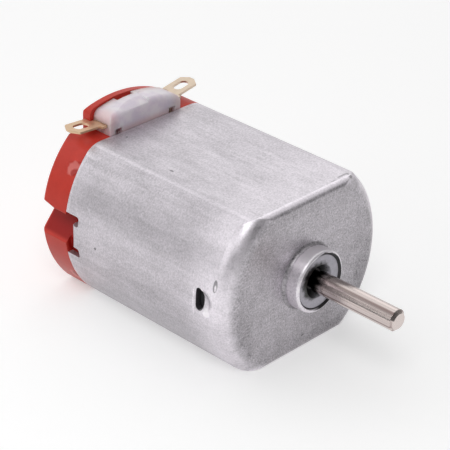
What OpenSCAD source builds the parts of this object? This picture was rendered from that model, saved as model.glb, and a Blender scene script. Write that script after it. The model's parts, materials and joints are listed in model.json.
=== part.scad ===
// Small two-pole direct-current motor for classroom experiments: a drawn steel can, a moulded
// end cap with solder terminals, a three-pole wound armature and two sprung carbon brushes.
// Frame: millimetres. The origin lies on the shaft axis in the plane of the can's front face.
// The output shaft points along -Y and the terminals are at the top, towards +Z.

/* [Can] */
// Width of the can across its round sides
can_d = 20.1; // [19.7:0.1:21.5]
// Thickness of the can across its flats
can_t = 15.1; // [15:0.1:16.2]
// Length of the can from its front face to its open rim
can_l = 20.2; // [19.6:0.2:24]
// Thickness of the drawn steel sheet
can_wall = 0.6; // [0.45:0.05:0.7]
// Radius of the can's four long corners
can_corner_r = 2.3; // [1.8:0.1:2.6]
// Radius of the front edge on the round sides
can_front_r = 1.8; // [0.9:0.1:1.9]
// Radius of the front edge on the flats
can_flat_r = 0.55; // [0.2:0.05:0.8]

/* [Front boss] */
// Outer radius of the drawn boss round the front bearing
boss_r = 2.95; // [2.9:0.05:3.6]
// Height of the boss in front of the can
boss_h = 1.65; // [1.5:0.05:2.6]
// Radius of the fillet at the foot of the boss
boss_foot_r = 0.3; // [0.1:0.1:0.6]
// Radius of the boss's front edge
boss_edge_r = 0.25; // [0.1:0.05:0.35]

/* [Side slots] */
// Distance from the front face to the slot pierced in each round side
slot_y = 2.85; // [2.55:0.05:3]
// Width of that slot along the can
slot_w = 0.75; // [0.6:0.05:1]
// Length of that slot round the can
slot_l = 2.2; // [1.8:0.1:2.8]
// Height of the slot's middle above the shaft axis
slot_z = 0.3; // [-0.4:0.1:0.6]
// Depth of the dimple pressed in front of the slot
dimple_depth = 0.4; // [0.35:0.05:0.6]
// Radius of the punch that presses the dimple
dimple_r = 1.7; // [1.4:0.05:1.8]

/* [Crimp tabs] */
// Width of the tab bent into the end cap on each round side
tab_w = 2.2; // [1.8:0.1:2.4]
// Width of the slits beside each tab
slit_w = 1.0; // [0.6:0.05:1.1]
// Height of the tabs' middles above the shaft axis
tab_z = -0.2; // [-0.25:0.05:0]
// Depth of the slits from the can's rim
slit_l = 1.7; // [1.6:0.1:2.1]
// Straight length of a tab between the slits' roots and its bend
tab_straight = 0.35; // [0.2:0.05:0.5]
// How far a bent tab reaches below the can's outer surface
tab_reach = 1.55; // [1.3:0.05:1.6]

/* [Magnets] */
// Gap between the magnets' rear ends and the end cap's skirt
magnet_gap = 0.5; // [0.3:0.1:2.5]
// Inner radius of the arc magnets
magnet_r = 6.6; // [6.5:0.05:6.9]
// Half of the angle that each magnet spans
magnet_a = 42; // [36:1:43]
// Diameter of the spring wire that spreads the magnets
spring_d = 0.8; // [0.6:0.05:0.9]

/* [Shaft and bearings] */
// Diameter of the shaft
shaft_d = 2; // [1.8:0.1:2.2]
// Length of the shaft in front of the boss
shaft_out = 8.75; // [7:0.25:14]
// Chamfer on the shaft's ends
shaft_chamfer = 0.28; // [0.1:0.02:0.4]
// Radial clearance between the shaft and its bearings
bearing_clear = 0.03; // [0.01:0.01:0.06]
// Outer radius of the front bearing bush
bush_r = 2.5; // [2.3:0.05:2.6]
// Length of the front bearing bush
bush_l = 2.9; // [2.6:0.1:3.1]
// How far the front bush sits back inside the boss
bush_recess = 0.18; // [0.1:0.02:0.3]
// Radius of the oil pocket in a bush's outer end
pocket_r = 1.6; // [1.4:0.05:1.8]
// Depth of that oil pocket
pocket_depth = 0.7; // [0.65:0.05:0.8]
// Outer radius of the rear bearing bush
rear_bush_r = 2.3; // [2.1:0.05:2.5]
// Length of the rear bearing bush
rear_bush_l = 3.2; // [3:0.1:3.4]
// Free gap between a bearing and the washer that runs against it
end_float = 0.15; // [0.1:0.05:0.2]
// Thickness of the thrust washers
washer_t = 0.3; // [0.2:0.05:0.35]
// Radius of the thrust washers
washer_r = 2.1; // [1.8:0.1:2.3]

/* [Armature] */
// Radius of the armature over its pole shoes
core_r = 6.1; // [5.9:0.05:6.2]
// How far the core's ends lie inside the magnets' ends
core_inset = 2.5; // [2.5:0.25:3.5]
// Pitch of the laminations
lam_t = 0.5; // [0.45:0.05:0.5]
// Varnish gap between laminations
lam_gap = 0.03; // [0.02:0.01:0.06]
// Radius of the core's hub
hub_r = 2.5; // [2.2:0.1:2.6]
// Width of a pole's stem
stem_w = 2.4; // [2:0.1:2.8]
// Thickness of a pole shoe
shoe_t = 0.9; // [0.8:0.05:1.1]
// Half of the angle that a pole shoe spans
shoe_a = 50; // [44:1:54]
// Thickness of the insulating end plates
plate_t = 0.4; // [0.3:0.05:0.5]
// Half of the width of a coil across its pole
coil_half_w = 3.2; // [2.6:0.1:3.3]
// How far a coil stands past the end plates
coil_over = 1.3; // [1:0.1:1.4]
// Clearance between a coil and the steel it is wound on
coil_fit = 0.05; // [0.03:0.01:0.1]

/* [Commutator] */
// Outer radius of the commutator's copper bars
bar_r = 2.6; // [2.4:0.05:2.7]
// Thickness of the copper bars
bar_t = 0.45; // [0.35:0.05:0.5]
// Length of the copper bars
bar_l = 3.8; // [3.4:0.1:3.9]
// Angle of the gap between two bars
bar_gap_a = 9; // [6:1:14]
// Length of the insulating ring that holds the bars
ring_l = 0.6; // [0.4:0.1:0.7]
// Thickness of that ring
ring_t = 0.4; // [0.3:0.05:0.5]

/* [Brushes] */
// Length of a brush block along the shaft
brush_l = 1.8; // [1.4:0.1:1.9]
// Height of a brush block
brush_h = 1.9; // [1.4:0.1:2.2]
// Thickness of a brush block from the commutator to its arm
brush_t = 1.1; // [0.95:0.05:1.2]
// Running clearance between a brush and the commutator
brush_clear = 0.05; // [0.03:0.01:0.08]
// Thickness of a brush arm
arm_t = 0.2; // [0.15:0.05:0.25]
// Width of a brush arm
arm_w = 2.2; // [2:0.1:2.4]

/* [End cap] */
// Length of the end cap behind the can
cap_l = 3.3; // [3.1:0.1:4.2]
// Length of the skirt that plugs into the can
skirt_l = 3.4; // [3:0.1:3.7]
// Clearance between the skirt and the can
skirt_fit = 0.04; // [0.02:0.01:0.08]
// Thickness of the end cap's rear wall
cap_rear_t = 1.5; // [1.2:0.1:1.6]
// Radius of the end cap's rear edge
cap_edge_r = 0.45; // [0.2:0.05:0.6]
// Radius of the space inside the end cap
cavity_r = 7.1; // [6.9:0.05:7.3]
// Half of the height of the space inside the end cap
cavity_z = 5.9; // [5.7:0.05:6]
// Height of the arched wall behind the terminal block, above the shaft axis
arch_z = 9.95; // [9.7:0.05:10]
// Radius of that wall's top
arch_r = 12.5; // [11:0.5:16]
// Distance from the shaft to the crown of that wall, along X
arch_x = -1.2; // [-1.4:0.1:0]
// Width of that wall
arch_w = 9.6; // [9.3:0.1:9.8]
// Thickness of that wall
arch_t = 0.95; // [0.8:0.05:1.1]
// Radius of that wall's corners
arch_corner_r = 0.8; // [0.4:0.05:0.9]
// Radius of the rear bearing boss
rear_boss_r = 4.2; // [3.8:0.1:4.4]
// Height of the rear bearing boss
rear_boss_h = 1.2; // [1:0.1:1.6]
// Height of the groove in each side above the shaft axis
groove_top = 1.65; // [1.55:0.05:1.9]
// Depth of that groove below the shaft axis, where the tab is bent into it
groove_low = 1.4; // [1.4:0.05:1.5]
// Depth of the groove below the round side
groove_depth = 1.8; // [1.7:0.05:1.9]
// Inner radius of the vents in the rear wall
vent_r = 5.1; // [4.9:0.1:5.2]
// Width of the vents
vent_w = 1.1; // [0.8:0.1:1.2]
// Angle of the vents' middle below the shaft axis
vent_at = 48; // [44:1:52]
// Half of the angle that a vent spans
vent_a = 26; // [15:1:30]

/* [Terminals] */
// Thickness of the terminal strip
strip_t = 0.2; // [0.2:0.05:0.35]
// Height of the strip's top above the flat of the end cap
strip_up = 0.9; // [0.85:0.05:1.05]
// Distance from the motor's middle to a terminal's tip
strip_x = 7.8; // [7.7:0.1:8.6]
// Distance from the end cap's rear face to the middle of a terminal
strip_back = 1.4; // [1.3:0.05:1.6]
// Width of a terminal outside the block
strip_w = 2.1; // [2:0.1:2.4]
// Width of the corners cut off a terminal's tip
strip_cut_w = 0.75; // [0.4:0.05:0.8]
// Length of those corners
strip_cut_l = 0.5; // [0.3:0.05:0.7]
// Angle by which the left terminal is bent up
bend_left = 4; // [0:1:12]
// Angle by which the right terminal is bent up
bend_right = 10; // [0:1:13]
// Length of the solder eye in a terminal
eye_l = 1.6; // [1.3:0.1:1.7]
// Width of the solder eye
eye_w = 1.0; // [0.8:0.05:1.1]
// Metal between the solder eye and the terminal's tip
eye_edge = 0.7; // [0.7:0.05:0.95]
// Width of the terminal block
block_w = 8.8; // [8.5:0.1:8.8]
// Height of the terminal block's top above the shaft axis
block_z = 9.85; // [9.6:0.05:9.9]
// Radius of the terminal block's arched top
block_r = 13; // [11:0.5:16]
// Distance from the shaft to the crown of the block, along X
block_x = -0.6; // [-0.8:0.1:0]
// Clearance between the terminal block and its pocket
block_fit = 0.04; // [0.02:0.01:0.08]
// Depth of the pocket that the block sits in, below the flat
pocket_floor = 0.65; // [0.5:0.05:0.7]
// Clearance round a strip in the plastic
strip_fit = 0.05; // [0.03:0.01:0.08]

/* [Hidden] */
$fn = 96;
far = 60;      // longer than the motor, for cutting tools
nip = 0.01;    // overlap that makes two joined shapes one

steel_c = [0.70, 0.70, 0.71];
polished_c = [0.80, 0.80, 0.80];
bush_c = [0.52, 0.52, 0.56];
red_c = [0.78, 0.22, 0.18];
milky_c = [0.80, 0.76, 0.82];
brass_c = [0.86, 0.70, 0.45];
copper_c = [0.72, 0.42, 0.26];
ferrite_c = [0.16, 0.16, 0.17];
carbon_c = [0.12, 0.12, 0.13];
paper_c = [0.85, 0.82, 0.70];

shaft_r = shaft_d / 2;
in_d = can_d - 2 * can_wall;
in_t = can_t - 2 * can_wall;
in_corner_r = can_corner_r - can_wall;
slit_y = can_l - slit_l;
bend_y = slit_y + tab_straight;
skirt_y = can_l - skirt_l;
rear_y = can_l + cap_l;
boss_back_y = rear_y + rear_boss_h;

// Along the shaft, from the front
bush_y = -boss_h + bush_recess;
shaft_tip_y = -boss_h - shaft_out;
stop_gap = 0.1;
magnet_y = slot_y + stop_gap;
magnet_l = skirt_y - magnet_gap - magnet_y;
lam_n = floor((magnet_l - 2 * core_inset) / lam_t + nip);
core_l = lam_n * lam_t;
core_y = magnet_y + (magnet_l - core_l) / 2;
coil_y = core_y - plate_t - coil_over;
coil_l = core_l + 2 * (plate_t + coil_over);
front_washer_y = bush_y + bush_l + end_float;
spacer_y = front_washer_y + washer_t;
spacer_wall = 0.6;
spacer_r = shaft_r + spacer_wall;
bar_over = 0.4;        // how far the bars reach behind the can's rim
bar_y = can_l + bar_over - bar_l;
flange_t = 0.5;
flange_over = 0.3;
hub_over = 0.15;       // how far the commutator's hub reaches behind the bars
comm_y = bar_y - flange_t;
rear_washer_y = bar_y + bar_l + hub_over;
rear_bush_y = rear_washer_y + washer_t + end_float;
shaft_recess = 0.1;    // the shaft's rear end lies inside its bush
shaft_end_y = rear_bush_y + rear_bush_l - shaft_recess;
ring_gap = 0.6;        // bare bars in front of the insulating ring
ring_y = bar_y + ring_gap;
pole_pitch = 120;
lug_l = 1.3;
lug_w = 1.2;
lug_t = 0.35;

// Brush gear
brush_gap = 0.3;       // between the insulating ring and the brushes
brush_y = ring_y + ring_l + brush_gap;
brush_in_r = bar_r + brush_clear;
arm_x = brush_in_r + brush_t;
arm_y = brush_y + (brush_l - arm_w) / 2;
arm_top_gap = 0.4;
arm_top_z = cavity_z - arm_top_gap;
arm_tail = 1.3;
arm_low_z = -brush_h / 2 - arm_tail;
arm_hook_h = 1.0;
leg_gap = 0.08;
leg_x = arm_x - leg_gap - strip_t;
leg_w = 1.2;
leg_lap = 0.8;         // how far a terminal's leg reaches beside its brush arm
leg_low_z = arm_top_z - leg_lap;

// Terminal block, its pocket and the arched wall behind it
block_gap = 0.05;
block_y = can_l + block_gap;
block_corner_r = 0.8;
block_edge_r = 0.5;
pocket_z = can_t / 2 - pocket_floor;
arch_y = rear_y - arch_t;
arch_chamfer = 0.3;
block_l = arch_y - block_gap - block_y;
notch_x = 3.35;
notch_w = 0.85;
notch_z = can_t / 2 + 0.45;
notch_depth = 0.55;
slope_h = 0.4;
slope_l = 1.1;
slope_end_x = 0.3;
recess = [2.1, 0.5, 1];
recess_x = -0.9;
dip_r = 0.5;
dip_depth = 0.12;
dip_at = [0.9, 1.3];

// Terminals
strip_y = rear_y - strip_back;
strip_z = can_t / 2 + strip_up;
strip_low_z = strip_z - strip_t;
neck_w = 1.7;
neck_back = 1.4;       // from the middle of a terminal to its neck's front edge
neck_y = strip_y - neck_back;
neck_x = arch_w / 2 + 0.1;
bend_lap = 0.15;       // how far the lug reaches into the strip at the bend
leg_y = neck_y;
eye_r = eye_w / 2;
eye_x = [eye_r + eye_edge - strip_x, eye_l + eye_edge - eye_r - strip_x];

// Dimple in front of a side slot: where the punch's centre lies outside the left round side
dimple_x = -(can_d / 2 + dimple_r - dimple_depth);

// Spring between the magnets: its legs bear on the magnets' upper edges
spring_r = spring_d / 2;
spring_gap = 0.02;
spring_at = in_d / 2 - 1.0;
leg_at_x = spring_at * cos(magnet_a) - (spring_r + spring_gap) * sin(magnet_a);
leg_at_z = spring_at * sin(magnet_a) + (spring_r + spring_gap) * cos(magnet_a);
spring_bend_r = 1.2;
spring_inset = 0.6;
spring_l = magnet_l - spring_inset - 1.0;

// Side grooves of the end cap: behind the tab each has a slanted floor and a flared upper lip
groove_x = can_d / 2 - groove_depth;
slant_y = bend_y + can_wall + 0.25;
slant_z = 0.7;
slant_a = 40;
lip_rise = 0.33;
lip_l = 1.7;

// Tapered scoop in each shoulder of the end cap, open to the can's rim
scoop_r = 0.75;
scoop_depth = 0.3;
scoop_l = 1.45;
scoop_a = 34.5;

// ---------- helpers ----------

// A flat shape in the X-Z plane, drawn out along Y from y0
module y_extrude(y0, l) {
    translate([0, y0 + l, 0]) rotate([90, 0, 0]) linear_extrude(l) children();
}

// A flat shape in the Y-Z plane, drawn out along X from x0
module x_extrude(x0, l) {
    translate([x0, 0, 0]) rotate([90, 0, 90]) linear_extrude(l) children();
}

// A half section (radius, y) turned about the shaft axis
module y_revolve() {
    rotate([-90, 0, 0]) rotate_extrude() children();
}

// A tube or rod round the shaft axis
module y_tube(y0, l, r, bore = 0) {
    y_revolve() translate([bore, y0]) square([r - bore, l]);
}

module both_sides() {
    children();
    mirror([1, 0, 0]) children();
}

// A wedge that opens to both sides of +X by half_a degrees
module wedge(half_a, r) {
    polygon([[0, 0], [r, -r * tan(half_a)], [r, r * tan(half_a)]]);
}

// Circle of diameter d cut by two flats t apart, with rounded corners
module double_d(d, t, rc) {
    zc = t / 2 - rc;
    xc = sqrt(pow(d / 2 - rc, 2) - zc * zc);
    square([2 * xc, t], center = true);
    intersection() {
        circle(d = d);
        union() {
            wedge(atan2(zc, xc), d);
            rotate(180) wedge(atan2(zc, xc), d);
        }
    }
    for (sx = [-1, 1], sz = [-1, 1]) translate([sx * xc, sz * zc]) circle(rc);
}

// Slab w wide whose top is an arc of radius r about [x0, 0], with rounded corners
module arched_slab(w, r, rc, x0) {
    xc = w / 2 - rc;
    left = [-xc, sqrt(pow(r - rc, 2) - pow(xc + x0, 2))];
    right = [xc, sqrt(pow(r - rc, 2) - pow(xc - x0, 2))];
    polygon([[-w / 2, 0], [w / 2, 0], [w / 2, right.y], [-w / 2, left.y]]);
    intersection() {
        translate([x0, 0]) circle(r);
        polygon([[x0, 0], 2 * right - [x0, 0], 2 * left - [x0, 0]]);
    }
    for (c = [left, right]) translate(c) circle(rc);
}

// Half section of a rod whose low end has a rounded edge
module rounded_rod(r, l, edge) {
    translate([0, edge]) square([r, l - edge]);
    square([r - edge, l]);
    translate([r - edge, edge]) circle(edge);
}

// Side view of a slab t high whose low end has rounded edges
module rounded_slab(t, l, edge) {
    translate([0, edge - t / 2]) square([l, t - 2 * edge]);
    translate([edge, -t / 2]) square([l - edge, t]);
    for (s = [-1, 1]) translate([edge, s * (t / 2 - edge)]) circle(edge);
}

// Double-D body from y = 0 to l, with its edges at y = 0 rounded
module can_form(d, t, rc, l, round_edge, flat_edge) {
    intersection() {
        y_extrude(0, l) double_d(d, t, rc);
        y_revolve() rounded_rod(d / 2 + nip, l + 1, round_edge);
        x_extrude(-d, 2 * d) rounded_slab(t + nip, l + 1, flat_edge);
    }
}

// ---------- can ----------

module can_shell() {
    difference() {
        can_form(can_d, can_t, can_corner_r, can_l, can_front_r, can_flat_r);
        translate([0, can_wall, 0])
            intersection() {
                y_extrude(0, can_l) double_d(in_d, in_t, in_corner_r);
                y_revolve() rounded_rod(in_d / 2 + nip, far, can_front_r - can_wall + 0.1);
            }
    }
}

module front_boss() {
    y_revolve() {
        translate([0, -boss_h]) rounded_rod(boss_r, boss_h + can_wall / 2, boss_edge_r);
        difference() {
            translate([boss_r - nip, -boss_foot_r]) square([boss_foot_r, boss_foot_r + nip]);
            translate([boss_r + boss_foot_r, -boss_foot_r]) circle(boss_foot_r);
        }
    }
}

// Seat of the front bush, with the drawn rim's inner edge broken
module bush_seat() {
    y_revolve() {
        translate([0, -far / 2]) square([bush_r, far]);
        polygon([[0, -boss_h - nip], [bush_r + 0.2, -boss_h - nip], [bush_r, -boss_h + 0.25], [0, 0]]);
    }
}

// Opening of one side slot, rounded at both ends
module side_slot() {
    straight = slot_l - slot_w;
    x_extrude(-can_d, can_d) translate([slot_y + slot_w / 2, slot_z]) {
        square([slot_w, straight], center = true);
        for (s = [-1, 1]) translate([0, s * straight / 2]) circle(slot_w / 2);
    }
}

module dimple(grow) {
    translate([dimple_x, slot_y, slot_z]) sphere(dimple_r + grow);
}

// What the punch pushes in, which ends inside the slot
module dimple_hollow() {
    intersection() {
        dimple(0);
        translate([-can_d, 0, -can_t / 2]) cube([can_d, slot_y + slot_w / 2, can_t]);
    }
}

// Sheet pushed inward in front of the slot, which stops the magnet
module magnet_stop() {
    intersection() {
        dimple(can_wall);
        translate([-can_d / 2 + can_wall / 2, can_wall / 2, -can_t / 2])
            cube([can_d / 4, slot_y - can_wall / 2, can_t]);
    }
}

module slit_cut() {
    slit_root_r = 0.3;
    for (s = [-1, 1])
        x_extrude(-can_d, can_d) translate([slit_y, tab_z + s * (tab_w + slit_w) / 2]) {
            translate([slit_root_r, -slit_w / 2]) square([slit_l, slit_w]);
            translate([0, slit_root_r - slit_w / 2]) square([slit_l, slit_w - 2 * slit_root_r]);
            for (z = [-1, 1]) translate([slit_root_r, z * (slit_w / 2 - slit_root_r)]) circle(slit_root_r);
        }
}

// The tab's sheet, bent in at a right angle behind the slits' roots
module crimp_tab() {
    intersection() {
        translate([-can_d / 2 + can_wall, bend_y, tab_z - tab_w / 2]) linear_extrude(tab_w) {
            square([tab_reach - can_wall, can_wall]);
            intersection() {
                circle(can_wall);
                translate([-can_wall, 0]) square(can_wall);
            }
        }
        y_tube(0, far, can_d / 2);
    }
}

module motor_can() color(steel_c) {
    difference() {
        union() {
            can_shell();
            front_boss();
            both_sides() magnet_stop();
        }
        bush_seat();
        both_sides() {
            dimple_hollow();
            side_slot();
            slit_cut();
            translate([-can_d, bend_y, tab_z - (tab_w + slit_w) / 2])
                cube([can_d, far, tab_w + slit_w]);
        }
    }
    both_sides() crimp_tab();
}

// ---------- bearings ----------

module bush(y0, l, r, pocket_front) {
    difference() {
        y_tube(y0, l, r, shaft_r + bearing_clear);
        mouth = pocket_front ? y0 - nip : y0 + l + nip;
        inner = pocket_front ? y0 + pocket_depth : y0 + l - pocket_depth;
        y_revolve() polygon([[0, mouth], [pocket_r, mouth], [shaft_r + bearing_clear, inner], [0, inner]]);
    }
}

module front_bearing() color(bush_c) bush(bush_y, bush_l, bush_r, true);

module rear_bearing() color(bush_c) bush(rear_bush_y, rear_bush_l, rear_bush_r, false);

// ---------- magnets ----------

module magnet() {
    y_extrude(magnet_y, magnet_l) rotate(180) intersection() {
        difference() {
            circle(in_d / 2 - 0.03);
            circle(magnet_r);
        }
        wedge(magnet_a, can_d);
    }
}

module magnet_left() color(ferrite_c) magnet();

module magnet_right() color(ferrite_c) mirror([1, 0, 0]) magnet();

// Wire bent to a U that spreads the magnets
module magnet_spring() color(polished_c) translate([0, magnet_y + spring_inset, leg_at_z]) {
    both_sides() {
        translate([leg_at_x, spring_bend_r, 0])
            rotate([-90, 0, 0]) cylinder(r = spring_r, h = spring_l - spring_bend_r);
        translate([leg_at_x - spring_bend_r, spring_bend_r, 0])
            rotate([0, 0, -90]) rotate_extrude(angle = 90) translate([spring_bend_r, 0]) circle(spring_r);
    }
    translate([spring_bend_r - leg_at_x, 0, 0])
        rotate([0, 90, 0]) cylinder(r = spring_r, h = 2 * (leg_at_x - spring_bend_r));
}

// ---------- end cap ----------

// Groove that the can's tab is bent into, open to the rear
module side_groove() {
    difference() {
        x_extrude(-can_d, can_d - groove_x)
            polygon([[skirt_y - nip, -groove_low], [far, -groove_low], [far, groove_top + lip_rise],
                [rear_y, groove_top + lip_rise], [rear_y - lip_l, groove_top], [skirt_y - nip, groove_top]]);
        slanted_floor();
    }
}

module slanted_floor() {
    low_x = nip - groove_x;
    out_x = -groove_x - (slant_z + can_t) * tan(slant_a);
    y_extrude(slant_y, far)
        polygon([[low_x, slant_z], [-groove_x, slant_z], [out_x, -can_t], [low_x, -can_t]]);
}

module shoulder_scoop() {
    rotate([0, scoop_a, 0]) translate([scoop_depth - can_d / 2 - scoop_r, can_l, 0])
        rotate([0, 0, atan(scoop_depth / scoop_l)]) rotate([-90, 0, 0])
            translate([0, 0, -1]) cylinder(r = scoop_r, h = scoop_l + 2);
}

module cap_body() {
    translate([0, rear_y, 0]) mirror([0, 1, 0])
        can_form(can_d, can_t, can_corner_r, cap_l, cap_edge_r, cap_edge_r);
    y_extrude(skirt_y, skirt_l + nip)
        double_d(in_d - 2 * skirt_fit, in_t - 2 * skirt_fit, in_corner_r - skirt_fit);
    // arched wall behind the terminal block
    intersection() {
        translate([0, 0, arch_z - arch_r]) {
            intersection() {
                y_extrude(arch_y, arch_t) arched_slab(arch_w, arch_r, arch_corner_r, arch_x);
                // its rear edge is broken by a chamfer
                translate([arch_x, 0, 0])
                    y_revolve() polygon([[0, 0], [far, 0], [far, rear_y - far + arch_r - arch_chamfer],
                        [arch_r - arch_chamfer, rear_y], [0, rear_y]]);
            }
        }
        translate([-can_d / 2, 0, pocket_z - 1]) cube([can_d, far, can_d]);
    }
    // rear bearing boss
    translate([0, boss_back_y, 0]) mirror([0, 1, 0])
        y_revolve() rounded_rod(rear_boss_r, rear_boss_h + 1, 0.3);
}

module cap_cavity() {
    cavity_back = rear_y - cap_rear_t;
    hub_wall = 0.9;
    difference() {
        intersection() {
            y_tube(skirt_y - nip, cavity_back - skirt_y + nip, cavity_r);
            translate([-can_d, 0, -cavity_z]) cube([2 * can_d, far, 2 * cavity_z]);
        }
        y_tube(rear_bush_y, far, rear_bush_r + hub_wall);
    }
}

// Curved vent through the rear wall, with radial ends
module vent() {
    y_extrude(rear_y - cap_rear_t - nip, far) rotate(-vent_at) intersection() {
        difference() {
            circle(vent_r + vent_w);
            circle(vent_r);
        }
        wedge(vent_a, can_d);
    }
}

module leg_hole() {
    translate([-leg_x - strip_t - strip_fit, leg_y - strip_fit, 0])
        cube([strip_t + 2 * strip_fit, leg_w + 2 * strip_fit, far]);
}

module end_cap() color(red_c) {
    difference() {
        cap_body();
        cap_cavity();
        y_tube(rear_bush_y - nip, far, rear_bush_r);
        // pocket for the terminal block
        translate([-block_w / 2 - block_fit, 0, pocket_z])
            cube([block_w + 2 * block_fit, arch_y, far]);
        both_sides() {
            side_groove();
            shoulder_scoop();
            vent();
            leg_hole();
        }
    }
}

// ---------- terminal block and terminals ----------

module terminal_block() color(milky_c) {
    difference() {
        intersection() {
            translate([0, 0, block_z - block_r])
                y_extrude(block_y, block_l) arched_slab(block_w, block_r, block_corner_r, block_x);
            translate([block_x, block_y, block_z - block_r])
                y_revolve() rounded_rod(block_r + nip, far, block_edge_r);
            translate([-can_d / 2, 0, pocket_z]) cube([can_d, far, can_d]);
        }
        both_sides() {
            // way in for the strip, and its leg's way down
            translate([-can_d / 2, neck_y - strip_fit, strip_low_z - strip_fit])
                cube([can_d / 2 - leg_x + strip_fit, neck_w + 2 * strip_fit, strip_t + 2 * strip_fit]);
            translate([0, 0, -far + strip_z]) leg_hole();
            // notch that leaves a foot at each end of the front face
            translate([-notch_x - notch_w / 2, 0, pocket_z - nip])
                cube([notch_w, block_y + notch_depth, notch_z - pocket_z + nip]);
        }
        // the left half of the front's upper edge is cut to a slope
        x_extrude(-can_d, can_d + slope_end_x) translate([block_y, block_z])
            polygon([[-nip, -slope_h], [slope_l, nip], [-nip, nip]]);
        // moulding recess against the arched wall
        translate([recess_x - recess.x / 2, block_y + block_l - recess.y, block_z - recess.z])
            cube([recess.x, far, far]);
        // witness of the ejector pin
        translate([dip_at.x, block_y + dip_at.y, block_z - dip_depth]) cylinder(r = dip_r, h = 1);
    }
}

// Outline of the left terminal outside the block, seen from above
module lug_outline() {
    half = strip_w / 2;
    difference() {
        union() {
            translate([-neck_x, neck_y]) square([bend_lap, neck_w]);
            polygon([[-neck_x, strip_y - half], [-strip_x + strip_cut_l, strip_y - half],
                [-strip_x, strip_y - half + strip_cut_w], [-strip_x, strip_y + half - strip_cut_w],
                [-strip_x + strip_cut_l, strip_y + half], [-neck_x, strip_y + half]]);
        }
        for (x = eye_x) translate([x, strip_y]) circle(eye_r);
        translate([eye_x[0], strip_y - eye_r]) square([eye_x[1] - eye_x[0], eye_w]);
    }
}

// A strip through the block, its leg down beside the brush arm, and its lug bent up by an angle
module terminal(bend) {
    translate([-neck_x, neck_y, strip_low_z]) cube([neck_x - leg_x, neck_w, strip_t]);
    translate([-leg_x - strip_t, leg_y, leg_low_z]) cube([strip_t, leg_w, strip_z - leg_low_z]);
    translate([-neck_x, 0, strip_z - strip_t / 2]) rotate([0, bend, 0])
        translate([neck_x, 0, -strip_t / 2]) linear_extrude(strip_t) lug_outline();
}

module terminal_left() color(brass_c) terminal(bend_left);

module terminal_right() color(brass_c) mirror([1, 0, 0]) terminal(bend_right);

// ---------- brush gear ----------

// Stamped spring arm: a strip that hangs beside the commutator from a hook at the leg
module brush_arm() {
    x_extrude(-arm_x - arm_t, arm_t) {
        translate([arm_y, arm_low_z]) square([arm_w, arm_top_z - arm_low_z]);
        translate([arm_y, arm_top_z - arm_hook_h]) square([leg_y + leg_w - arm_y, arm_hook_h]);
    }
}

module brush() {
    difference() {
        translate([-arm_x, brush_y, -brush_h / 2]) cube([arm_x, brush_l, brush_h]);
        y_tube(brush_y - nip, brush_l + 2 * nip, brush_in_r);
    }
}

module brush_arm_left() color(copper_c) brush_arm();

module brush_arm_right() color(copper_c) mirror([1, 0, 0]) brush_arm();

module brush_left() color(carbon_c) brush();

module brush_right() color(carbon_c) mirror([1, 0, 0]) brush();

// ---------- rotor ----------

module shaft() color(polished_c) {
    groove_y = bush_y + 0.02;
    groove = [0.2, 0.6];
    y_revolve() difference() {
        polygon([[0, shaft_tip_y], [shaft_r - shaft_chamfer, shaft_tip_y],
            [shaft_r, shaft_tip_y + shaft_chamfer], [shaft_r, shaft_end_y - shaft_chamfer],
            [shaft_r - shaft_chamfer, shaft_end_y], [0, shaft_end_y]]);
        // oil groove inside the bush's pocket
        translate([shaft_r - groove.x, groove_y]) square([shaft_r, groove.y]);
    }
}

module front_washer() color(paper_c) y_tube(front_washer_y, washer_t, washer_r, shaft_r);

module rear_washer() color(paper_c) y_tube(rear_washer_y, washer_t, washer_r, shaft_r);

module spacer_sleeve() color(milky_c)
    y_tube(spacer_y, core_y - plate_t - spacer_y, spacer_r, shaft_r);

module three_poles() {
    for (i = [0:2]) rotate(90 + pole_pitch * i) children();
}

// One stamping of the core
module lamination_outline() {
    difference() {
        union() {
            circle(hub_r);
            three_poles() {
                translate([0, -stem_w / 2]) square([core_r - shoe_t / 2, stem_w]);
                intersection() {
                    difference() {
                        circle(core_r);
                        circle(core_r - shoe_t);
                    }
                    wedge(shoe_a, can_d);
                }
            }
        }
        circle(shaft_r);
    }
}

module core_laminations() color(steel_c)
    for (i = [0:lam_n - 1])
        y_extrude(core_y + i * lam_t, lam_t - lam_gap) lamination_outline();

module end_plate(y0) {
    inset = 0.1;
    y_extrude(y0, plate_t) difference() {
        union() {
            circle(hub_r - inset);
            three_poles() translate([0, inset - stem_w / 2])
                square([core_r - shoe_t - inset, stem_w - 2 * inset]);
        }
        circle(shaft_r);
    }
}

module front_end_plate() color(paper_c) end_plate(core_y - plate_t);

module rear_end_plate() color(paper_c) end_plate(core_y + core_l - lam_gap);

// One pole's winding: limbs in the slots and rounded end turns over the end plates
module coil(i) {
    low = hub_r + 0.1;
    tunnel_w = stem_w + 2 * coil_fit;
    rotate([0, -pole_pitch * i, 0]) difference() {
        intersection() {
            y_extrude(coil_y, coil_l) intersection() {
                circle(core_r - shoe_t - coil_fit);
                translate([-coil_half_w, low]) square([2 * coil_half_w, core_r]);
            }
            linear_extrude(can_d) coil_plan();
        }
        translate([-tunnel_w / 2, core_y - plate_t - coil_fit, 0])
            cube([tunnel_w, core_l + 2 * (plate_t + coil_fit), can_d]);
    }
}

// The winding seen along its pole
module coil_plan() {
    edge = 1.2;
    translate([edge - coil_half_w, coil_y]) square([2 * (coil_half_w - edge), coil_l]);
    translate([-coil_half_w, coil_y + edge]) square([2 * coil_half_w, coil_l - 2 * edge]);
    for (sx = [-1, 1], y = [coil_y + edge, coil_y + coil_l - edge])
        translate([sx * (coil_half_w - edge), y]) circle(edge);
}

module coil_1() color(copper_c) coil(0);

module coil_2() color(copper_c) coil(1);

module coil_3() color(copper_c) coil(2);

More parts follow.
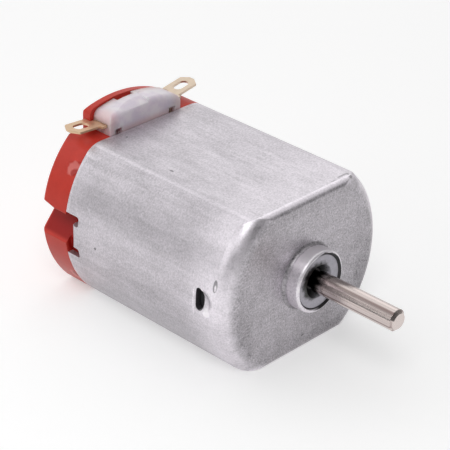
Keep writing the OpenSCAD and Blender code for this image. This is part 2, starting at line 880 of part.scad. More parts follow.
module commutator_hub() color(milky_c) {
    y_tube(comm_y, rear_washer_y - comm_y, bar_r - bar_t, shaft_r);
    y_tube(comm_y, flange_t, bar_r + flange_over, shaft_r);
}

// Three copper bars, each with a lug that a coil's end is joined to
module commutator_bars() color(copper_c)
    for (i = [0:2]) rotate([0, -pole_pitch * (i + 0.25), 0]) {
        y_extrude(bar_y, bar_l) intersection() {
            difference() {
                circle(bar_r);
                circle(bar_r - bar_t);
            }
            wedge((pole_pitch - bar_gap_a) / 2, can_d);
        }
        y_extrude(bar_y, lug_t) translate([bar_r - bar_t / 2, -lug_w / 2]) square([lug_l, lug_w]);
    }

module commutator_ring() color(paper_c) y_tube(ring_y, ring_l, bar_r + ring_t, bar_r);

motor_can();
front_bearing();
magnet_left();
magnet_right();
magnet_spring();
end_cap();
rear_bearing();
terminal_block();
terminal_left();
terminal_right();
brush_arm_left();
brush_arm_right();
brush_left();
brush_right();
shaft();
front_washer();
spacer_sleeve();
core_laminations();
front_end_plate();
rear_end_plate();
coil_1();
coil_2();
coil_3();
commutator_hub();
commutator_bars();
commutator_ring();
rear_washer();
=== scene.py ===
"""Looks of a small can motor: finishes of every part, studio, and the photographed view.

Frame: metres, the CAD frame. The origin lies on the shaft axis in the plane of the can's front
face, the shaft points along -Y and the solder terminals are at the top, towards +Z.
"""
import json
import math

import bpy
from mathutils import Matrix, Vector

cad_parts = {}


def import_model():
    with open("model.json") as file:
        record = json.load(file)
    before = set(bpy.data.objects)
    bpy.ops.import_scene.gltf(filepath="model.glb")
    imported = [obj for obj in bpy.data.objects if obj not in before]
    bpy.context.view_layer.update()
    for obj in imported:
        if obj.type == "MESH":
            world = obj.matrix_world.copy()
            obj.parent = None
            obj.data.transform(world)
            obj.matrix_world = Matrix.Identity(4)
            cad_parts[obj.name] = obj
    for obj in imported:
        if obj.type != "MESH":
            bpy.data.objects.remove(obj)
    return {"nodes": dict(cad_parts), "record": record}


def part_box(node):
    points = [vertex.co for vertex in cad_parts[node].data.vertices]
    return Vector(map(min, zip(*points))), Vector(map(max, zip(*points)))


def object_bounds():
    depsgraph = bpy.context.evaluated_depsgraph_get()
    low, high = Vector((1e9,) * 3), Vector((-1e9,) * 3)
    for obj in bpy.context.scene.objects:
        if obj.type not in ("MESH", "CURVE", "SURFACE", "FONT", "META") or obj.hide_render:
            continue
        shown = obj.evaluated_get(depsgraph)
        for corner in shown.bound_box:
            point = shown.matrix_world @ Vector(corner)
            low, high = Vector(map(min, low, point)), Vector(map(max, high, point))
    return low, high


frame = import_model()
cad_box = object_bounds()

MM = 0.001
IMAGE_PX = 450
ROUND = (1, 1, 1)     # the stretch of a noise or a speck that isn't drawn out

# ---------------------------------------------------------------- small node helpers


class Shader:
    """A material whose nodes are added one call at a time."""

    def __init__(self, name):
        self.material = bpy.data.materials.new(name)
        self.material.use_nodes = True
        self.tree = self.material.node_tree
        self.tree.nodes.clear()
        output = self.add("ShaderNodeOutputMaterial")
        self.surface = self.add("ShaderNodeBsdfPrincipled")
        self.link(self.surface.outputs["BSDF"], output.inputs["Surface"])
        coordinates = self.add("ShaderNodeTexCoord").outputs["Object"]
        self.place = self.vector("MULTIPLY", coordinates, (1 / MM,) * 3)

    def add(self, kind, **settings):
        node = self.tree.nodes.new(kind)
        for key, value in settings.items():
            setattr(node, key, value)
        return node

    def link(self, source, target):
        self.tree.links.new(source, target)

    def feed(self, node, key, value):
        if isinstance(value, bpy.types.NodeSocket):
            self.link(value, node.inputs[key])
        else:
            node.inputs[key].default_value = value

    def feed_colour(self, node, key, colour):
        """Feeds a colour that is a socket or (red, green, blue)."""
        self.feed(node, key, (*colour, 1.0) if isinstance(colour, tuple) else colour)

    def math(self, operation, a, b=0.0, c=0.0):
        node = self.add("ShaderNodeMath", operation=operation)
        for key, value in enumerate((a, b, c)):
            self.feed(node, key, value)
        return node.outputs[0]

    def vector(self, operation, a, b=(0.0, 0.0, 0.0)):
        node = self.add("ShaderNodeVectorMath", operation=operation)
        self.feed(node, 0, a)
        self.feed(node, 1, b)
        return node.outputs["Value" if operation in ("DOT_PRODUCT", "LENGTH") else "Vector"]

    def axis(self, key):
        """The place's X, Y or Z in millimetres."""
        split = self.add("ShaderNodeSeparateXYZ")
        self.link(self.place, split.inputs[0])
        return split.outputs[key]

    def product(self, a, b):
        return self.math("MULTIPLY", a, b)

    def total(self, start, *parts):
        """The start plus each mask times its weight."""
        for mask, weight in parts:
            start = self.math("MULTIPLY_ADD", mask, weight, start)
        return start

    def distance(self, place, centre_mm):
        return self.vector("LENGTH", self.vector("SUBTRACT", place, centre_mm))

    def vary(self, *parts):
        """1 plus the swing of each (noise, amplitude) about the noise's middle."""
        total = 1.0
        for value, swing in parts:
            total = self.math("ADD", total, self.math("MULTIPLY_ADD", value, swing, -swing / 2))
        return total

    def band(self, value, low, high, soft):
        """1 between low and high and 0 outside."""
        above = self.ramp(value, low - soft, low + soft)
        return self.math("MULTIPLY", above, self.ramp(value, high + soft, high - soft))

    def from_axis(self):
        """Distance from the shaft axis in millimetres."""
        return self.vector("LENGTH", self.vector("MULTIPLY", self.place, (1, 0, 1)))

    def spot(self, centre_mm, radius_mm, soft_mm, stretch, wobble):
        """1 inside a ball about a point and 0 outside, with its border moved by a wobble in mm."""
        offset = self.vector("MULTIPLY", self.vector("SUBTRACT", self.place, centre_mm), stretch)
        distance = self.math("ADD", self.vector("LENGTH", offset), wobble)
        return self.ramp(distance, radius_mm + soft_mm, radius_mm - soft_mm)

    def noise(self, per_mm, detail, rough=0.5, stretch=ROUND):
        """Noise of about per_mm grains in a millimetre, drawn out where stretch is under 1."""
        node = self.add("ShaderNodeTexNoise", noise_dimensions="3D")
        self.link(self.vector("MULTIPLY", self.place, stretch), node.inputs["Vector"])
        self.feed(node, "Scale", per_mm)
        self.feed(node, "Detail", detail)
        self.feed(node, "Roughness", rough)
        return node.outputs["Fac"]

    def ramp(self, value, low, high, to_low=0.0, to_high=1.0):
        """to_low up to low, to_high from high on, and a smooth change between them."""
        node = self.add("ShaderNodeMapRange", clamp=True, interpolation_type="SMOOTHSTEP")
        for key, number in enumerate((value, low, high, to_low, to_high)):
            self.feed(node, key, number)
        return node.outputs[0]

    def mix(self, share, a, b):
        """Colour a where the share is 0 and colour b where it is 1."""
        node = self.add("ShaderNodeMix", data_type="RGBA", clamp_factor=True)
        self.feed(node, 0, share)
        self.feed_colour(node, 6, a)
        self.feed_colour(node, 7, b)
        return node.outputs[2]

    def tint(self, colour, factor):
        """The colour times a number that varies over the surface."""
        grey = self.add("ShaderNodeCombineColor")
        for key in range(3):
            self.feed(grey, key, factor)
        node = self.add("ShaderNodeMix", data_type="RGBA", blend_type="MULTIPLY")
        self.feed(node, 0, 1.0)
        self.feed_colour(node, 6, colour)
        self.link(grey.outputs[0], node.inputs[7])
        return node.outputs[2]

    def edges(self, radius_mm):
        """(soft normal, 0 on flats to 1 on edges)."""
        bevel = self.add("ShaderNodeBevel", samples=6)
        self.feed(bevel, "Radius", radius_mm * MM)
        true = self.add("ShaderNodeNewGeometry").outputs["Normal"]
        turn = self.math("SUBTRACT", 1.0, self.vector("DOT_PRODUCT", bevel.outputs[0], true))
        return bevel.outputs[0], self.ramp(turn, 0.01, 0.2)

    def bump(self, height, depth_mm, normal):
        """The normal with a relief that is depth_mm high where the height is 1."""
        node = self.add("ShaderNodeBump")
        self.feed(node, "Height", height)
        self.feed(node, "Distance", depth_mm * MM)
        self.feed(node, "Strength", 1.0)
        self.link(normal, node.inputs["Normal"])
        return node.outputs[0]

    def set(self, **inputs):
        """Feeds the surface's inputs and gives the material."""
        for key, value in inputs.items():
            self.feed(self.surface, key.replace("_", " "), value)
        return self.material


def rgb(red, green, blue):
    """A colour given as it is seen, 0 to 255, in the light values that shaders take."""
    def channel(v):
        v /= 255
        return v / 12.92 if v <= 0.04045 else ((v + 0.055) / 1.055) ** 2.4
    return channel(red), channel(green), channel(blue)


# ---------------------------------------------------------------- finishes
# Places are in millimetres in the CAD frame. A shade multiplies a finish's own colour, so a
# weight of 0.1 in it is a tenth of that colour's light.


def box_mm(node):
    """The lowest and the highest corner of a CAD node in millimetres."""
    return [[value / MM for value in corner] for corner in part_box(node)]


(_, BOSS_FRONT, _), (CAN_SIDE, CAN_REAR, CAN_FLAT) = box_mm("motor_can")
(_, _, BLOCK_FOOT), (BLOCK_SIDE, BLOCK_REAR, _) = box_mm("terminal_block")
(_, SHAFT_FRONT, _), (_, SHAFT_REAR, _) = box_mm("shaft")

# places inside a node, which its box doesn't give
CAP_REAR = 23.5       # the end cap's rear face, in front of its bearing boss
SLOT_FRONT = 2.85
SLOT_REAR = 3.6
DIMPLE_RADIUS = 1.7   # of the ball that pressed the dimple in front of each slot
DIMPLE_DEPTH = 0.4

# the highest shade of the can, which brings the steel's colour to about 1
BRIGHTEST = 1.65

# (centre, radius, depth, stretch) of each dark speck and scuff on the can
SPECKS = (
    ((-5.07, 11.63, CAN_FLAT), 0.11, 0.6, (1, 0.5, 1)),
    ((5.76, 0.78, CAN_FLAT), 0.11, 0.55, ROUND),
    ((-3.4, 19.15, CAN_FLAT), 0.10, 0.6, ROUND),
    ((1.02, 0, 3.2), 0.09, 0.6, ROUND),
    ((-0.13, 0, -6.12), 0.10, 0.5, ROUND),
    ((-CAN_SIDE, 16.19, -0.22), 0.13, 0.6, ROUND),
    ((5.25, 0.95, CAN_FLAT), 0.16, 0.45, (0.25, 1.6, 1)),
    ((5.7, 0.4, CAN_FLAT - 0.1), 0.14, 0.5, (0.4, 1, 1)),
    ((3.9, 0.8, CAN_FLAT), 0.09, 0.35, (0.3, 1, 1)),
)

# the nick on the left side: its dark outline and its clean inside
NICK = (-9.81, 1.55, 2.2)
NICK_FLOOR = (-9.81, 1.5, 2.05)
# centre of the ball that pressed the left dimple, and the painted highlight on the dimple's edge
PUNCH = (DIMPLE_DEPTH - DIMPLE_RADIUS - CAN_SIDE, SLOT_FRONT, 0.3)
GLEAM_HIGHLIGHT = (-9.86, 2.35, -0.72)
# the oil on the front bush spreads round this place
OIL_CENTRE = (-0.4, 0, 0.2)
# the painted highlight at one of the cap's shoulder scoops, and the painted shade in its middle
SCOOP = (8.35, 20.85, 5.45)
SCOOP_CORE = (8.45, 20.5, 5.2)


def can_steel():
    """Drawn steel with a tumbled zinc finish: pale, satin, finely grained, with a painted
    highlight on its edges that is partly edge wear, and painted light and shade by place.
    """
    s = Shader("can_steel")
    normal, edge = s.edges(0.12)
    cloud = s.noise(0.16, detail=2)
    mottle = s.noise(1.1, detail=4, rough=0.6)
    grain = s.noise(6, detail=2, rough=0.7)
    drawn = s.noise(2.4, detail=3, stretch=(1, 0.06, 1))
    patch = s.noise(0.8, detail=3, stretch=(1, 0.35, 1))
    shade = s.vary((cloud, 0.10), (mottle, 0.16), (grain, 0.95), (drawn, 0.32), (patch, 0.42))
    front_grain = s.ramp(s.axis("Y"), 0.3, 0.0, 0.0, 0.6)
    # painted highlight on the housing's edges, partly edge wear
    housing_edge_highlight = s.product(edge, s.ramp(s.axis("Y"), -0.5, -0.2))
    shade = s.total(shade, (front_grain, s.math("SUBTRACT", grain, 0.5)), (housing_edge_highlight, 0.4))
    # painted highlights and painted shade by place on the can and at its slots
    shade = s.math("ADD", shade, s.math("ADD", painted_can_light(s), painted_slot_light(s, mottle)))
    # darker where specks, the nick and dirt mark it, and where painted shade falls
    unmarked_and_unshaded = s.math("SUBTRACT", 1.0, marks_and_painted_shade(s, mottle))
    shade = s.product(s.math("MINIMUM", shade, BRIGHTEST), unmarked_and_unshaded)
    rough = s.total(0.34, (mottle, 0.10), (edge, -0.10))
    relief = s.total(0.0, (grain, 0.5), (mottle, 0.5))
    zinc = rgb(206, 201, 207)
    return s.set(Base_Color=s.tint(zinc, shade), Metallic=0.7, Roughness=rough,
                 Normal=s.bump(relief, 0.03, normal))


def painted_can_light(s):
    """What a place on the can adds to its shade: painted highlights on the creases, sides and
    flats near the front, front fillets, boss and rim, and painted shade beside the creases, low on
    the sides, round the boss's foot and over the front face.
    """
    below_flat = s.math("SUBTRACT", CAN_FLAT, s.math("ABSOLUTE", s.axis("Z")))
    along = s.axis("Y")
    before_rim = s.math("SUBTRACT", CAN_REAR, along)
    # painted highlight along each crease, and painted shade beside it
    crease_highlight = s.band(below_flat, 0.06, 0.16, 0.03)
    beside_crease_shade = s.band(below_flat, 0.3, 1.35, 0.3)
    side = s.ramp(s.math("ABSOLUTE", s.axis("X")), 6.2, 7.0)
    # painted highlight on the sides near the front
    side_front_highlight = s.product(side, s.product(s.ramp(along, 6.0, 1.5), s.ramp(along, 0.1, 0.5)))
    # painted highlight on the boss, brighter on its upper side
    boss = s.ramp(along, -0.25, -0.5)
    boss_highlight = s.math("MULTIPLY_ADD", s.ramp(s.axis("Z"), 1.2, 2.6), 0.35, 0.62)
    # painted shade low on the sides
    side_low_shade = s.product(side, s.ramp(s.axis("Z"), 2.0, -3.0))
    # painted highlights on the flats near the front and on their rounded front edges
    near_front = s.product(s.ramp(along, 9.0, 2.0), s.ramp(along, 0.3, 0.6))
    flat_front_highlight = s.product(s.ramp(below_flat, 0.25, 0.05), near_front)
    fillet_highlight = s.product(s.band(along, 0.03, 0.7, 0.08), s.ramp(below_flat, 0.65, 0.35))
    # painted shade over the front face, deepest towards its lower right
    face = s.product(s.ramp(along, 0.15, 0.03), s.ramp(along, -0.3, -0.1))
    to_low_right = s.math("SUBTRACT", s.axis("X"), s.axis("Z"))
    face_shade = s.ramp(to_low_right, -2.0, 12.0, -0.13, -0.3)
    # painted shade round the boss's foot
    boss_foot_shade = s.product(s.band(s.from_axis(), 2.95, 3.2, 0.08), s.ramp(along, 0.1, 0.0))
    # painted highlight on the rear rim and just in front of it
    rim_highlight = s.ramp(before_rim, 0.35, 0.2)
    near_rim_highlight = s.ramp(before_rim, 1.8, 0.8)
    return s.total(0.0, (crease_highlight, 0.18), (beside_crease_shade, -0.08), (side_front_highlight, 0.42),
                   (boss, boss_highlight), (side_low_shade, -0.15), (flat_front_highlight, 0.16), (fillet_highlight, 0.28),
                   (face, face_shade), (boss_foot_shade, -0.3), (rim_highlight, 0.15), (near_rim_highlight, 0.07))


def painted_slot_light(s, ragged):
    """What each side's dimple and slot add: painted shade in the hollow, a painted highlight on
    the rim behind the slot and a ragged painted highlight at the gleam.
    """
    across = s.vector("ABSOLUTE", s.vector("MULTIPLY", s.place, (1, 0, 0)))
    on_left = s.vector("ADD", s.vector("MULTIPLY", across, (-1, 0, 0)),
                       s.vector("MULTIPLY", s.place, (0, 1, 1)))
    past_dimple = s.math("SUBTRACT", s.distance(on_left, PUNCH), DIMPLE_RADIUS)
    # painted shade in the hollow of each dimple
    hollow = s.product(s.band(past_dimple, 0.01, 0.1, 0.03), s.ramp(s.axis("Z"), -0.2, 0.4))
    behind_front = s.math("SUBTRACT", s.axis("Y"), SLOT_FRONT)
    shadow = s.product(s.ramp(behind_front, 0.05, -0.15), -0.3)
    behind_slot = s.math("SUBTRACT", s.axis("Y"), SLOT_REAR)
    # painted highlight on the rim behind each slot
    rim_highlight = s.product(s.band(behind_slot, 0.19, 0.33, 0.04), s.band(s.axis("Z"), -1.5, 1.1, 0.3))
    rim_highlight = s.product(rim_highlight, s.ramp(s.math("SUBTRACT", CAN_SIDE, s.from_axis()), 0.15, 0.07))
    # painted highlight at the gleam on the dimple's edge
    to_gleam = s.math("SUBTRACT", s.distance(on_left, GLEAM_HIGHLIGHT), 0.4)
    gleam_highlight = s.ramp(s.math("MULTIPLY_ADD", ragged, 0.8, to_gleam), 0.5, 0.2)
    return s.total(s.product(hollow, shadow), (rim_highlight, 0.3), (gleam_highlight, 0.75))


def marks_and_painted_shade(s, ragged):
    """0 to 1, how dark a place is: specks and the nick, oil with painted shadow in the boss's
    mouth, dirt with painted shadow round it, and painted shade on the slots' cut edges.
    """
    wobble = s.math("MULTIPLY_ADD", ragged, 0.3, -0.15)
    specks = [s.product(s.spot(centre_mm, radius_mm, 0.04, stretch, wobble), depth)
              for centre_mm, radius_mm, depth, stretch in SPECKS]
    nick_floor = s.spot(NICK_FLOOR, 0.3, 0.06, (1, 3, 1), wobble)
    nick = s.math("SUBTRACT", s.spot(NICK, 0.55, 0.06, (1, 2.5, 1), wobble), nick_floor)
    behind_boss = s.math("SUBTRACT", s.axis("Y"), BOSS_FRONT)
    # oil with painted shadow in the boss's mouth
    mouth_shade_and_oil = s.product(s.ramp(s.from_axis(), 2.66, 2.58), s.ramp(behind_boss, 0.03, 0.1))
    # dirt with painted shadow round the mouth, heavier towards the right
    dirt_and_shadow = s.ramp(s.math("ADD", s.from_axis(), wobble), 2.8, 2.73)
    dirt_and_shadow = s.product(dirt_and_shadow, s.ramp(s.axis("X"), -0.9, 0.2))
    dirt_and_shadow = s.product(dirt_and_shadow, s.ramp(behind_boss, 0.65, 0.35))
    # painted shade on the rear cut edge of each slot
    under_skin = s.ramp(s.math("SUBTRACT", CAN_SIDE, s.from_axis()), 0.04, 0.12)
    cut_edge_shade = s.product(s.band(s.axis("Y"), SLOT_REAR - 0.35, SLOT_REAR + 0.15, 0.03), under_skin)
    cut_edge_shade = s.product(cut_edge_shade, s.ramp(s.math("ABSOLUTE", s.axis("Z")), 2.4, 2.0))
    marks_and_shades = specks + [s.product(mask, depth) for mask, depth in
                      ((nick, 0.6), (mouth_shade_and_oil, 0.9), (dirt_and_shadow, 0.95), (cut_edge_shade, 0.85))]
    darkest = 0.0
    for mark in marks_and_shades:
        darkest = s.math("MAXIMUM", darkest, mark)
    return darkest


def sintered_bush():
    """Porous grey bronze with black oil round the shaft, a little to one side."""
    s = Shader("sintered_bush")
    normal, _ = s.edges(0.05)
    grain = s.noise(5, detail=3, rough=0.7)
    blot = s.noise(2.2, detail=4, rough=0.7)
    off = s.vector("MULTIPLY", s.vector("SUBTRACT", s.place, OIL_CENTRE), (1, 0, 1))
    border = s.math("MULTIPLY_ADD", blot, 0.9, s.math("SUBTRACT", s.vector("LENGTH", off), 0.45))
    oil = s.ramp(border, 1.95, 1.45)
    bronze = s.tint(rgb(186, 183, 192), s.vary((grain, 0.5)))
    black_oil = rgb(12, 10, 11)
    return s.set(Base_Color=s.mix(oil, bronze, black_oil), Metallic=s.total(0.6, (oil, -0.6)),
                 Roughness=s.total(0.45, (oil, -0.15)), Normal=s.bump(grain, 0.006, normal))


def polished_steel():
    """Ground bar with long bright and brown bands of painted reflection, painted highlights at its
    ends, fine rings, and oil crept out of the bush.
    """
    s = Shader("polished_steel")
    normal, _ = s.edges(0.05)
    along = s.axis("Y")
    # painted reflection: long bright and brown bands along the bar
    painted_reflection_bands = s.ramp(s.noise(2.3, detail=3, stretch=(1, 0.008, 1)), 0.36, 0.62)
    rings = s.noise(20, detail=1, stretch=(0.03, 1, 0.03))
    # painted highlights: the ends are bright all round, and the rear one further inward
    for end_mm, inward in ((SHAFT_FRONT, 1), (SHAFT_REAR, -2.5)):
        end_highlight = s.ramp(along, end_mm + 0.18 * inward, end_mm + 0.06 * inward)
        painted_reflection_bands = s.math("MAXIMUM", painted_reflection_bands, end_highlight)
    blot = s.noise(1.6, detail=3, rough=0.6, stretch=(1, 0.35, 1))
    reach = s.math("MULTIPLY_ADD", blot, 2.4, s.math("ADD", along, -1.2))
    oil = s.product(s.ramp(reach, -2.7, -1.8), s.ramp(along, 1.5, 0.5))
    # the dark and bright tones of the painted reflection, and the black oil
    brown, bright, black_oil = rgb(152, 133, 130), rgb(219, 207, 203), rgb(16, 12, 12)
    colour = s.mix(oil, s.mix(painted_reflection_bands, brown, bright), black_oil)
    return s.set(Base_Color=colour, Metallic=0.95, Roughness=s.total(0.24, (painted_reflection_bands, -0.08)),
                 Normal=s.bump(rings, 0.003, normal))


def red_plastic():
    """Glossy moulded red with painted shade in the side grooves, a painted highlight with painted
    shade in its middle at each shoulder scoop, and painted highlights on its edges.
    """
    s = Shader("red_plastic")
    normal, edge = s.edges(0.1)
    cloud = s.noise(0.5, detail=3)
    grain = s.noise(5, detail=2)
    # painted shade in the side grooves
    under_skin = s.ramp(s.math("SUBTRACT", CAN_SIDE, s.from_axis()), 0.05, 0.4)
    groove_shade = s.product(under_skin, s.ramp(s.math("ABSOLUTE", s.axis("Z")), 2.6, 2.0))
    groove_shade = s.product(groove_shade, s.ramp(s.math("ABSOLUTE", s.axis("X")), 7.7, 8.1))
    groove_shade = s.product(groove_shade, s.ramp(s.axis("Y"), CAP_REAR - 0.05, CAP_REAR - 0.2))
    mirrored = s.vector("ABSOLUTE", s.place)
    wobble = s.math("MULTIPLY_ADD", s.noise(1.1, detail=2), 0.9, -0.45)
    # painted highlight at each shoulder scoop, and painted shade in its middle
    patch = s.ramp(s.math("ADD", s.distance(mirrored, SCOOP), wobble), 0.72, 0.45)
    scoop_shade = s.ramp(s.math("ADD", s.distance(mirrored, SCOOP_CORE), wobble), 0.5, 0.25)
    red = rgb(206, 64, 52)
    colour = s.tint(red, s.vary((cloud, 0.35), (grain, 0.1)))
    # painted shade, the scoops' painted highlight and shade, and painted highlights on the edges
    for mask, share, tone in (
            (groove_shade, 0.9, rgb(160, 11, 8)),
            (patch, 0.6, rgb(238, 148, 142)),
            (scoop_shade, 0.75, rgb(168, 30, 26)),
            (edge, 0.35, rgb(232, 122, 108))):
        colour = s.mix(s.product(mask, share), colour, tone)
    relief = s.total(cloud, (grain, 0.3))
    s.set(Subsurface_Weight=0.12, Subsurface_Radius=(1.0, 0.25, 0.15), Subsurface_Scale=0.35 * MM)
    return s.set(Base_Color=colour, Roughness=0.34, Specular_IOR_Level=0.22,
                 Normal=s.bump(relief, 0.008, normal))


def milky_plastic():
    """Clouded translucent nylon, slightly violet, with painted pink light where the red plastic
    shines through and painted highlights on its edges.
    """
    s = Shader("milky_plastic")
    normal, edge = s.edges(0.12)
    cloud = s.noise(0.8, detail=3)
    violet, white, pink, pale = (
        rgb(232, 222, 234), rgb(246, 238, 244), rgb(222, 140, 126), rgb(240, 234, 240))
    across = s.math("ABSOLUTE", s.axis("X"))
    # painted pink light from the red plastic at the ends, foot and back
    ends = s.product(s.ramp(across, BLOCK_SIDE - 1.4, BLOCK_SIDE - 0.1), 0.35)
    low = s.product(s.ramp(s.axis("Z"), BLOCK_FOOT + 1.4, BLOCK_FOOT + 0.7), 0.3)
    back = s.product(s.ramp(s.axis("Y"), BLOCK_REAR - 0.9, BLOCK_REAR + 0.1), 0.45)
    painted_red_glow = s.math("MAXIMUM", back, s.math("MAXIMUM", ends, low))
    colour = s.mix(s.ramp(cloud, 0.35, 0.65), violet, white)
    # painted highlights on the edges, over the painted pink light
    colour = s.mix(s.product(edge, 0.4), s.mix(painted_red_glow, colour, pink), pale)
    s.set(Subsurface_Weight=0.9, Subsurface_Radius=(1.0, 0.9, 0.95), Subsurface_Scale=1.2 * MM)
    return s.set(Base_Color=colour, Roughness=0.28, IOR=1.5, Normal=s.bump(cloud, 0.02, normal))


def terminal_brass():
    """Pale stamped brass with brown edges: tan on the left terminal, tinned on the right one."""
    s = Shader("terminal_brass")
    normal, edge = s.edges(0.04)
    grain = s.noise(2, detail=3)
    tan, tinned, brown = rgb(226, 194, 160), rgb(229, 210, 188), rgb(190, 140, 112)
    on_right = s.ramp(s.axis("X"), -1.0, 1.0)
    colour = s.tint(s.mix(on_right, tan, tinned), s.vary((grain, 0.2)))
    colour = s.mix(s.product(edge, 0.5), colour, brown)
    return s.set(Base_Color=colour, Metallic=0.7, Roughness=s.total(0.3, (grain, 0.15)),
                 Normal=s.bump(grain, 0.004, normal))


def metal(name, colour, rough):
    """A plain metal inside the motor, slightly uneven and brighter on its edges."""
    s = Shader(name)
    normal, edge = s.edges(0.04)
    grain = s.noise(4, detail=3)
    shade = s.total(s.vary((grain, 0.15)), (edge, 0.2))
    return s.set(Base_Color=s.tint(colour, shade), Metallic=1.0,
                 Roughness=s.total(rough, (grain, 0.15)), Normal=s.bump(grain, 0.004, normal))


def dull(name, colour, rough, variation=0.2, grain_per_mm=4):
    """A plain ceramic, carbon, fibre or plastic inside the motor."""
    s = Shader(name)
    normal, _ = s.edges(0.04)
    grain = s.noise(grain_per_mm, detail=3, rough=0.6)
    return s.set(Base_Color=s.tint(colour, s.vary((grain, variation))), Roughness=rough,
                 Normal=s.bump(grain, 0.01, normal))


FINISHES = {
    "can_steel": can_steel(),
    "sintered_bush": sintered_bush(),
    "polished_steel": polished_steel(),
    "red_plastic": red_plastic(),
    "milky_plastic": milky_plastic(),
    "ferrite": dull("ferrite", rgb(34, 33, 36), 0.6, grain_per_mm=6),
    "spring_wire": metal("spring_wire", rgb(190, 188, 186), 0.25),
    "terminal_brass": terminal_brass(),
    "arm_bronze": metal("arm_bronze", rgb(206, 150, 98), 0.28),
    "brush_carbon": dull("brush_carbon", rgb(42, 42, 46), 0.6, grain_per_mm=9),
    "washer_fibre": dull("washer_fibre", rgb(120, 78, 52), 0.7, grain_per_mm=5),
    "sleeve_plastic": dull("sleeve_plastic", rgb(222, 218, 208), 0.4, variation=0.08),
    "lamination_steel": metal("lamination_steel", rgb(150, 150, 154), 0.35),
    "enamelled_copper": metal("enamelled_copper", rgb(184, 92, 46), 0.22),
    "bar_copper": metal("bar_copper", rgb(214, 136, 92), 0.25),
}


def dress_cad_nodes():
    """Each CAD node takes the finish of the slot that the record gives it."""
    slot_of = {row["node"]: row["material_slot"] for row in frame["record"]["subparts"]}
    for name, node in frame["nodes"].items():
        finish = FINISHES[slot_of[name]]
        if not node.data.materials:
            node.data.materials.append(finish)
        for index in range(len(node.data.materials)):
            node.data.materials[index] = finish


# ---------------------------------------------------------------- studio and camera

LIT_PLACE = (0, 8, 0)               # the lamps face this place, in millimetres
FLOOR_Z = cad_box[0][2]             # the part lies on its lower flat
FLOOR_HALF_SIDE = 3.0               # in metres
FLOOR_WHITE = 0.7                   # the share of the light that the paper throws back
FLOOR_GLOW = 0.42
BRIGHT_SIDE = (0.33, 0.72, 0.67)    # toward the brightest part of the sky
DIM_SKY = 0.1
BRIGHT_SKY = 0.82


def camera():
    """The photograph's view, as fitted to the can's edges."""
    focal_px = 1768.784
    azimuth, elevation, roll = (math.radians(a) for a in (-46.553, 29.134, 1.666))
    distance = 155.955 * MM
    target = Vector((-2.004, 8.0, 2.484)) * MM
    back = Vector((math.sin(azimuth) * math.cos(elevation),
                   -math.cos(azimuth) * math.cos(elevation), math.sin(elevation)))
    right = Vector((math.cos(azimuth), math.sin(azimuth), 0))
    up = back.cross(right)
    turned_right = right * math.cos(roll) + up * math.sin(roll)
    turned_up = up * math.cos(roll) - right * math.sin(roll)
    data = bpy.data.cameras.new("photo_camera")
    data.sensor_width = 36
    data.lens = focal_px * data.sensor_width / IMAGE_PX
    data.clip_start = 10 * MM
    data.clip_end = 5
    view = bpy.data.objects.new("photo_camera", data)
    view.matrix_world = Matrix.Translation(target + back * distance) @ Matrix(
        (turned_right, turned_up, back)).transposed().to_4x4()
    bpy.context.scene.collection.objects.link(view)
    bpy.context.scene.camera = view


def seen_directly(tree):
    """1 for what the camera, mirrors and glass see, and 0 for what lights the object."""
    path = tree.nodes.new("ShaderNodeLightPath")
    seen = path.outputs["Is Camera Ray"]
    for kind in ("Is Glossy Ray", "Is Transmission Ray"):
        either = tree.nodes.new("ShaderNodeMath")
        either.operation = "MAXIMUM"
        tree.links.new(seen, either.inputs[0])
        tree.links.new(path.outputs[kind], either.inputs[1])
        seen = either.outputs[0]
    return seen


def floor():
    """White paper: a diffuse plane with a glow that only brings it up to white."""
    mesh = bpy.data.meshes.new("floor")
    corners = ((-1, -1), (1, -1), (1, 1), (-1, 1))
    mesh.from_pydata([(x * FLOOR_HALF_SIDE, y * FLOOR_HALF_SIDE, FLOOR_Z) for x, y in corners],
                     [], [(0, 1, 2, 3)])
    plane = bpy.data.objects.new("floor", mesh)
    bpy.context.scene.collection.objects.link(plane)
    material = bpy.data.materials.new("floor_white")
    material.use_nodes = True
    tree = material.node_tree
    tree.nodes.clear()
    output = tree.nodes.new("ShaderNodeOutputMaterial")
    diffuse = tree.nodes.new("ShaderNodeBsdfDiffuse")
    diffuse.inputs["Color"].default_value = (FLOOR_WHITE, FLOOR_WHITE, FLOOR_WHITE, 1)
    painted_red_glow = tree.nodes.new("ShaderNodeEmission")
    strength = tree.nodes.new("ShaderNodeMath")
    strength.operation = "MULTIPLY"
    tree.links.new(seen_directly(tree), strength.inputs[0])
    strength.inputs[1].default_value = FLOOR_GLOW
    tree.links.new(strength.outputs[0], painted_red_glow.inputs["Strength"])
    both = tree.nodes.new("ShaderNodeAddShader")
    tree.links.new(diffuse.outputs[0], both.inputs[0])
    tree.links.new(painted_red_glow.outputs[0], both.inputs[1])
    tree.links.new(both.outputs[0], output.inputs["Surface"])
    mesh.materials.append(material)


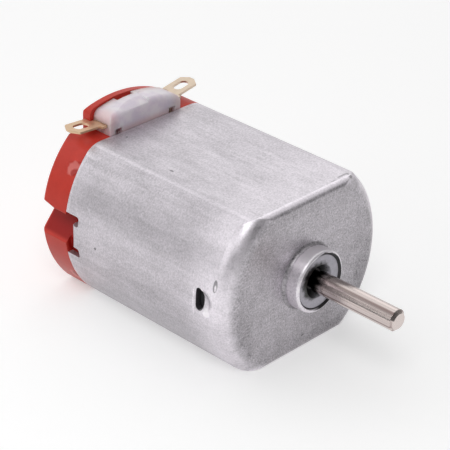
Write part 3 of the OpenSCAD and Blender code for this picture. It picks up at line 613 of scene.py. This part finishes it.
def world():
    """A pale studio: white to the camera, and brighter overhead and behind than in front."""
    sky = bpy.data.worlds.new("studio")
    bpy.context.scene.world = sky
    sky.use_nodes = True
    tree = sky.node_tree
    background = tree.nodes["Background"]
    background.inputs["Color"].default_value = (1, 1, 1, 1)
    direction = tree.nodes.new("ShaderNodeTexCoord").outputs["Generated"]
    toward = tree.nodes.new("ShaderNodeVectorMath")
    toward.operation = "DOT_PRODUCT"
    tree.links.new(direction, toward.inputs[0])
    toward.inputs[1].default_value = BRIGHT_SIDE
    level = tree.nodes.new("ShaderNodeMapRange")
    tree.links.new(toward.outputs["Value"], level.inputs[0])
    level.inputs[3].default_value = DIM_SKY
    level.inputs[4].default_value = BRIGHT_SKY
    path = tree.nodes.new("ShaderNodeLightPath")
    strength = tree.nodes.new("ShaderNodeMix")
    tree.links.new(path.outputs["Is Camera Ray"], strength.inputs[0])
    tree.links.new(level.outputs[0], strength.inputs[2])
    strength.inputs[3].default_value = 1.0
    tree.links.new(strength.outputs[0], background.inputs["Strength"])


def softbox(name, place_mm, size_mm, radiance):
    """A soft rectangular light that faces the can."""
    data = bpy.data.lights.new(name, "AREA")
    data.shape = "RECTANGLE"
    data.size, data.size_y = (side * MM for side in size_mm)
    data.energy = radiance * math.pi * data.size * data.size_y
    lamp = bpy.data.objects.new(name, data)
    lamp.location = Vector(place_mm) * MM
    toward = Vector(LIT_PLACE) * MM - lamp.location
    lamp.rotation_euler = toward.to_track_quat("-Z", "Y").to_euler()
    bpy.context.scene.collection.objects.link(lamp)


def studio():
    """Floor, world and five soft lights: name, place in mm, size in mm, radiance."""
    floor()
    world()
    softbox("back_softbox", (-60, 190, 100), (220, 140), 0.7)
    softbox("left_softbox", (-170, 30, 80), (120, 100), 1.3)
    softbox("front_softbox", (-100, -75, 160), (80, 80), 5.0)
    softbox("right_softbox", (110, 75, 78), (90, 90), 0.45)
    softbox("top_softbox", (30, 30, 200), (200, 200), 0.2)


dress_cad_nodes()
camera()
studio()
bpy.context.scene.view_settings.view_transform = "Standard"
